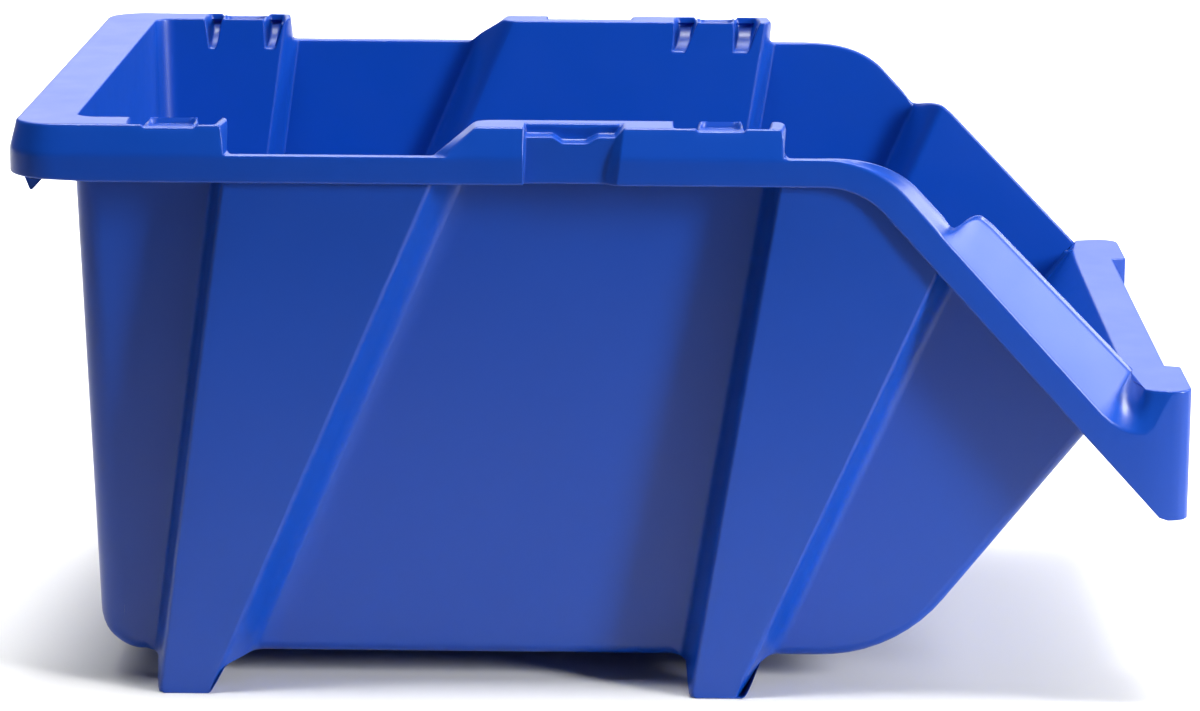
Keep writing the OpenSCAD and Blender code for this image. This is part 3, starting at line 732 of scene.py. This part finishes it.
# ---------------------------------------------------------------- the three grids of the right half
JOIN_ROW = RIM_ROWS + N_IN                  # rim above, wall below
WALL_ROW = JOIN_ROW + len(TAU) - 1          # wall above, bottom edge and underside below


def side_grid(inside):
    return np.array([side_column(k, inside) for k in range(len(U))])


def rear_grid(inside, side):
    columns = [rear_column(0.0, f, inside) for f in F[::-1]]
    columns += [rear_column(phi, 1.0, inside) for phi in PHI[::-1][1:]]
    grid = np.array(columns)
    grid[-1] = side[0, :WALL_ROW + 1]
    grid[:, -1] = side[0, WALL_ROW:][::-1]
    return grid


END_E = 16.0                                # about the width of the slope face at its lower end


def front_grid(inside, side):
    end = Side(U[-1], S[-1])
    e_i = end.wall_e(SLOPE_BASE + SLOPE_RISE * END_E, inside)
    e_o, d_o = e_i - RAIL_W, SLOPE_BASE + SLOPE_RISE * e_i - RAIL_H
    o = end.at(e_o, d_o, inside)
    last = {"e": e_o, "x": o[0], "z": o[2], "mid": 0.22, "lift": 1.0}
    columns = [front_column(phi, 1.0, inside, last) for phi in PHI]
    columns += [front_column(0.0, f, inside, last) for f in F[1:]]
    grid = np.array(columns)
    grid[0] = side[-1, :JOIN_ROW + 1]
    grid[:, -1] = side[-1, WALL_ROW:]
    return grid


WALL_NAMES = ["rear_corner", "rear_column_step", "rear_column_face", "rear_column_crease", "middle_panel",
              "front_column_step", "front_column_face", "front_column_crease", "front_panel"]


def side_labels():
    """Name of the piece each cell of the side grid belongs to."""
    x = np.array([rim_line(u)[0][0] for u in (U[1:] + U[:-1]) / 2])
    mid_u, mid_s = (U[1:] + U[:-1]) / 2, (S[1:] + S[:-1]) / 2
    names = np.empty((len(U) - 1, WALL_ROW + N_PHI + len(F) - 1), dtype=object)
    for k in range(len(U) - 1):
        if x[k] < RECESS_A - 2:
            skirt = "rear_skirt_side"
        elif x[k] < RECESS_B + 4:
            skirt = "hand_recess"
        else:
            skirt = "front_skirt" if mid_u[k] < U_CROWN else "slope_skirt"
        if x[k] < REAR_END + 4:
            block = "rear_block"
        elif x[k] < CENTRE_FOOT:
            block = "rear_rim"
        elif x[k] < RECESS_A - 2:
            block = "centre_block"
        elif x[k] < RECESS_B + 4:
            block = "hand_recess"
        elif x[k] < FRONT_END + 4:
            block = "front_block"
        else:
            block = "front_rim" if mid_u[k] < HOOK_B else "slope_block"
        names[k, :OUT_ROWS - 4] = "side:" + skirt
        names[k, OUT_ROWS - 4:JOIN_ROW] = "side:" + block
        wall = sum(mid_u[k] > key[0] for key in KEYS[1:-1])
        names[k, JOIN_ROW:WALL_ROW] = "side:" + WALL_NAMES[wall]
        if mid_s[k] < S_HEEL:
            low = "heel_curve"
        elif mid_s[k] < S_BEND:
            low = "floor_panel"
        else:
            low = "hopper_curve" if mid_s[k] < S_LINE else "hopper_wall"
        names[k, WALL_ROW:] = low
        cx = underside(mid_s[k])[0][0]
        for foot, (a, _, _, d) in zip(("rear_foot", "front_foot"), FEET):
            if a - 1.5 < cx < d + 1.5:
                names[k, WALL_ROW:WALL_ROW + N_PHI + FOOT_ROWS] = "side:" + foot
    return names


# rows across the floor that lie on a foot
FOOT_ROWS = int(np.sum(F[1:] * HALF_W > (FOOT_IN - 4) * HALF_W / (HALF_W - 14)))


def rear_labels():
    n_rear = len(F) - 1
    names = np.empty((n_rear + N_PHI, WALL_ROW), dtype=object)
    names[:n_rear, :OUT_ROWS - 4] = "rear_skirt"
    names[:n_rear, OUT_ROWS - 4:JOIN_ROW] = "rear_flange"
    names[n_rear:, :JOIN_ROW] = "side:rim_corner"
    names[:n_rear, JOIN_ROW:] = "rear_wall"
    names[n_rear:, JOIN_ROW:] = "side:rear_corner"
    straight = LOW_RIM + JOIN_D - FLOOR_Z - HEEL_R
    turn = int(np.sum(TAU[1:] * (straight + S_HEEL) <= straight))
    names[:, JOIN_ROW + turn:] = "heel_curve"
    return names


def front_labels(grid):
    names = np.empty((len(grid) - 1, JOIN_ROW), dtype=object)
    for k in range(len(grid) - 1):
        x, y = (grid[k, 10, 0] + grid[k + 1, 10, 0]) / 2, abs(grid[k, 10, 1] + grid[k + 1, 10, 1]) / 2
        if k >= N_PHI and y < EAR_IN:
            outer = "label_panel"
        else:
            outer = "side:cheek" if x < EAR_BEND_X else "side:ear"
        names[k, :OUT_ROWS - 4] = outer
        names[k, OUT_ROWS - 4:] = "front_lip"
    return names


# ---------------------------------------------------------------- weld the sheet and cut it into pieces
face_side, back_side = {}, {}
for store, inside in ((face_side, True), (back_side, False)):
    store["side"] = side_grid(inside)
    store["rear"] = rear_grid(inside, store["side"])
    store["front"] = front_grid(inside, store["side"])
labels = {"side": side_labels(), "rear": rear_labels(), "front": front_labels(face_side["front"])}

WELD = 1e-3
index, points = {}, []
cells, cell_names = [], []
for hand, flip in (("right", 1), ("left", -1)):
    for name, grid in face_side.items():
        ids = np.empty(grid.shape[:2], dtype=int)
        for k in range(grid.shape[0]):
            for r in range(grid.shape[1]):
                a, b = grid[k, r] * [1, flip, 1], back_side[name][k, r] * [1, flip, 1]
                key = tuple(int(v) for v in np.round(np.concatenate([a, b]) / WELD))
                if key not in index:
                    index[key] = len(points)
                    points.append((a, b))
                ids[k, r] = index[key]
        for k in range(grid.shape[0] - 1):
            for r in range(grid.shape[1] - 1):
                cell = [ids[k, r], ids[k + 1, r], ids[k + 1, r + 1], ids[k, r + 1]]
                cell = [v for j, v in enumerate(cell) if v != cell[j - 1]]
                if len(set(cell)) < 3:
                    continue
                cells.append(cell if flip == 1 else cell[::-1])
                label = labels[name][k, r]
                if label.startswith("side:"):
                    label = hand + "_" + label[5:].replace("rear_skirt_side", "rear_skirt")
                cell_names.append(label)
points = np.array(points)


def sheet_normals(side):
    """Area-weighted normals of one side of the sheet."""
    out = np.zeros((len(points), 3))
    p = points[:, side]
    for cell in cells:
        q = p[cell]
        n = np.cross(q[2] - q[0], (q[3] if len(cell) == 4 else q[2]) - q[1])
        if len(cell) == 3:
            n = np.cross(q[1] - q[0], q[2] - q[0])
        out[cell] += n
    out /= np.maximum(np.linalg.norm(out, axis=1), 1e-12)[:, None]
    return out if side == 0 else -out


NORMALS = [sheet_normals(0), sheet_normals(1)]


def make_mesh(name, verts, faces, normals=None):
    mesh = bpy.data.meshes.new(name)
    mesh.from_pydata((np.array(verts) * MM).tolist(), [], faces)
    for poly in mesh.polygons:
        poly.use_smooth = True
    if normals is not None:
        mesh.normals_split_custom_set(normals)
    obj = bpy.data.objects.new(name, mesh)
    bpy.context.collection.objects.link(obj)
    return obj


def cut_piece(label):
    """Closed mesh of all cells with this name: both sides of the sheet and the walls between them."""
    own = [cell for cell, n in zip(cells, cell_names) if n == label]
    used = sorted({v for cell in own for v in cell})
    local = {v: j for j, v in enumerate(used)}
    half = len(used)
    verts = np.concatenate([points[used, 0], points[used, 1]])
    faces, normals, edges = [], [], {}
    for cell in own:
        faces.append([local[v] for v in cell])
        normals += [NORMALS[0][v] for v in cell]
        faces.append([local[v] + half for v in cell[::-1]])
        normals += [NORMALS[1][v] for v in cell[::-1]]
        for j, v in enumerate(cell):
            w = cell[(j + 1) % len(cell)]
            if (w, v) in edges:
                del edges[(w, v)]
            else:
                edges[(v, w)] = True
    for v, w in edges:
        face = [local[w], local[v], local[v] + half, local[w] + half]
        q = verts[face]
        n = np.cross(q[2] - q[0], q[3] - q[1])
        size = np.linalg.norm(n)
        faces.append(face)
        normals += [n / size if size > 1e-9 else np.array([0, 0, 1.0])] * 4
    return make_mesh("bin_" + label, verts, faces, [tuple(n) for n in normals])


# ---------------------------------------------------------------- material
BLUE_DARK = (0.0006, 0.042, 0.310, 1)
BLUE_LIGHT = (0.0012, 0.049, 0.350, 1)
GLOSS = (0.29, 0.39)                        # least and greatest roughness
GRAIN, GRAIN_STRENGTH, GRAIN_DEPTH = 2600.0, 0.10, 0.00012    # fine grain of the surface
SINK, SINK_STRENGTH, SINK_DEPTH = 26.0, 0.25, 0.0006          # shallow waves in the walls


def bin_material():
    """Blue polypropylene: slightly cloudy colour and gloss, fine grain over shallow waves."""
    mat = bpy.data.materials.new("blue_polypropylene")
    mat.use_nodes = True
    nodes, links = mat.node_tree.nodes, mat.node_tree.links
    nodes.clear()
    out = nodes.new("ShaderNodeOutputMaterial")
    shader = nodes.new("ShaderNodeBsdfPrincipled")
    links.new(shader.outputs["BSDF"], out.inputs["Surface"])
    coord = nodes.new("ShaderNodeTexCoord")
    shader.inputs["IOR"].default_value = 1.45

    def noise(scale, detail):
        node = nodes.new("ShaderNodeTexNoise")
        node.inputs["Scale"].default_value = scale
        node.inputs["Detail"].default_value = detail
        links.new(coord.outputs["Object"], node.inputs["Vector"])
        return node

    clouds = noise(9.0, 3.0)
    tint = nodes.new("ShaderNodeMix")
    tint.data_type = "RGBA"
    tint.inputs["A"].default_value = BLUE_DARK
    tint.inputs["B"].default_value = BLUE_LIGHT
    links.new(clouds.outputs["Fac"], tint.inputs["Factor"])
    links.new(tint.outputs["Result"], shader.inputs["Base Color"])
    flow = noise(38.0, 2.0)
    rough = nodes.new("ShaderNodeMapRange")
    rough.inputs["To Min"].default_value, rough.inputs["To Max"].default_value = GLOSS
    links.new(flow.outputs["Fac"], rough.inputs["Value"])
    links.new(rough.outputs["Result"], shader.inputs["Roughness"])
    grain = noise(GRAIN, 2.0)
    wave = noise(SINK, 1.0)
    bump = nodes.new("ShaderNodeBump")
    bump.inputs["Strength"].default_value = GRAIN_STRENGTH
    bump.inputs["Distance"].default_value = GRAIN_DEPTH
    links.new(grain.outputs["Fac"], bump.inputs["Height"])
    sink = nodes.new("ShaderNodeBump")
    sink.inputs["Strength"].default_value = SINK_STRENGTH
    sink.inputs["Distance"].default_value = SINK_DEPTH
    links.new(wave.outputs["Fac"], sink.inputs["Height"])
    links.new(bump.outputs["Normal"], sink.inputs["Normal"])
    links.new(sink.outputs["Normal"], shader.inputs["Normal"])
    return mat


BIN_BLUE = bin_material()


def dress(obj, node):
    obj.data.materials.append(BIN_BLUE)
    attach(obj, "root")
    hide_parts(node)


for label in sorted(set(cell_names)):
    dress(cut_piece(label), label)

# ---------------------------------------------------------------- lip hanging under the rear rim
LIP_HALF = 176.0                            # half its length across the bin
# outline of its V section, x and z
LIP_SECTION = [(-294.3, 272.6), (-290.6, 263.0), (-289.8, 262.5), (-289.0, 262.9), (-282.0, 270.4),
               (-279.0, 276.0), (-281.5, 276.0), (-290.0, 268.2), (-293.0, 276.0), (-294.3, 276.0)]


def hanging_lip():
    ys = np.linspace(-LIP_HALF, LIP_HALF, 60)
    n = len(LIP_SECTION)
    verts = [(x, y, z) for y in ys for x, z in LIP_SECTION]
    faces = [list(range(n)), [n * (len(ys) - 1) + j for j in range(n)][::-1]]
    for k in range(len(ys) - 1):
        for j in range(n):
            a, b = k * n + j, k * n + (j + 1) % n
            faces.append([a, a + n, b + n, b])
    obj = make_mesh("bin_hanging_lip", verts, faces)
    for poly in obj.data.polygons:
        poly.use_smooth = False
    return obj


dress(hanging_lip(), "hanging_lip")

# ---------------------------------------------------------------- floor, light and camera
def plain_material(name, color, roughness):
    mat = bpy.data.materials.new(name)
    mat.use_nodes = True
    shader = mat.node_tree.nodes["Principled BSDF"]
    shader.inputs["Base Color"].default_value = color
    shader.inputs["Roughness"].default_value = roughness
    return mat


FLOOR_HALF = 9.0
FLOOR_PAINT = (0.72, 0.72, 0.72, 1)
WORLD_LIGHT = 0.05
SENSOR = 36.0
floor = bpy.data.meshes.new("studio_floor")
floor.from_pydata([(-FLOOR_HALF, -FLOOR_HALF, 0), (FLOOR_HALF, -FLOOR_HALF, 0),
                   (FLOOR_HALF, FLOOR_HALF, 0), (-FLOOR_HALF, FLOOR_HALF, 0)], [], [(0, 1, 2, 3)])
floor_obj = bpy.data.objects.new("studio_floor", floor)
bpy.context.collection.objects.link(floor_obj)
floor.materials.append(plain_material("pale_floor", FLOOR_PAINT, 0.8))

world = bpy.data.worlds.new("studio")
bpy.context.scene.world = world
world.use_nodes = True
world.node_tree.nodes["Background"].inputs["Color"].default_value = (1, 1, 1, 1)
world.node_tree.nodes["Background"].inputs["Strength"].default_value = WORLD_LIGHT


def area_light(name, place, aim, size, power, spread=180):
    light = bpy.data.lights.new(name, "AREA")
    light.shape = "RECTANGLE"
    light.size, light.size_y = size
    light.energy = power
    light.spread = math.radians(spread)
    obj = bpy.data.objects.new(name, light)
    bpy.context.collection.objects.link(obj)
    obj.location = place
    way = np.array(aim) - np.array(place)
    obj.rotation_euler = Vector(way).to_track_quat("-Z", "Y").to_euler()
    return obj


# Two lights from the bin's front end, one beyond its far side that shines on the faces that look up, a wide
# wash over the floor there, and a weak one over the near side. place, aim, size, watts, spread in degrees
area_light("key", (2.5, -1.55, 1.25), (0.05, 0.1, 0.2), (0.5, 1.4), 12.0, 50)
area_light("side", (2.6, 1.0, 1.75), (0.1, 0.1, 0.2), (1.2, 1.2), 15.0, 90)
area_light("behind", (-0.2, 3.2, 1.3), (0.0, 0.0, 0.25), (3.2, 1.2), 26.0)
area_light("wash", (-0.3, 2.2, 2.3), (-0.3, 2.0, 0.0), (5.0, 2.4), 150.0, 100)
area_light("overhead", (0.1, -0.3, 2.2), (0.1, -0.1, 0.2), (1.6, 0.4), 6.0, 40)

CAMERA_AT = (0.03796, -2.30896, 0.66034)
CAMERA_YAW, CAMERA_DOWN, CAMERA_ROLL = 0.018, 0.222, 0.005
CAMERA_LENS = 128.4
camera = bpy.data.cameras.new("photo_view")
camera.sensor_width = SENSOR
camera.lens = CAMERA_LENS
camera_obj = bpy.data.objects.new("photo_view", camera)
bpy.context.collection.objects.link(camera_obj)
camera_obj.location = CAMERA_AT
turn = Matrix.Rotation(CAMERA_YAW, 4, "Z") @ Matrix.Rotation(math.pi / 2 - CAMERA_DOWN, 4, "X")
camera_obj.matrix_world = Matrix.Translation(CAMERA_AT) @ turn @ Matrix.Rotation(CAMERA_ROLL, 4, "Z")
bpy.context.scene.camera = camera_obj
bpy.context.scene.view_settings.view_transform = "Standard"
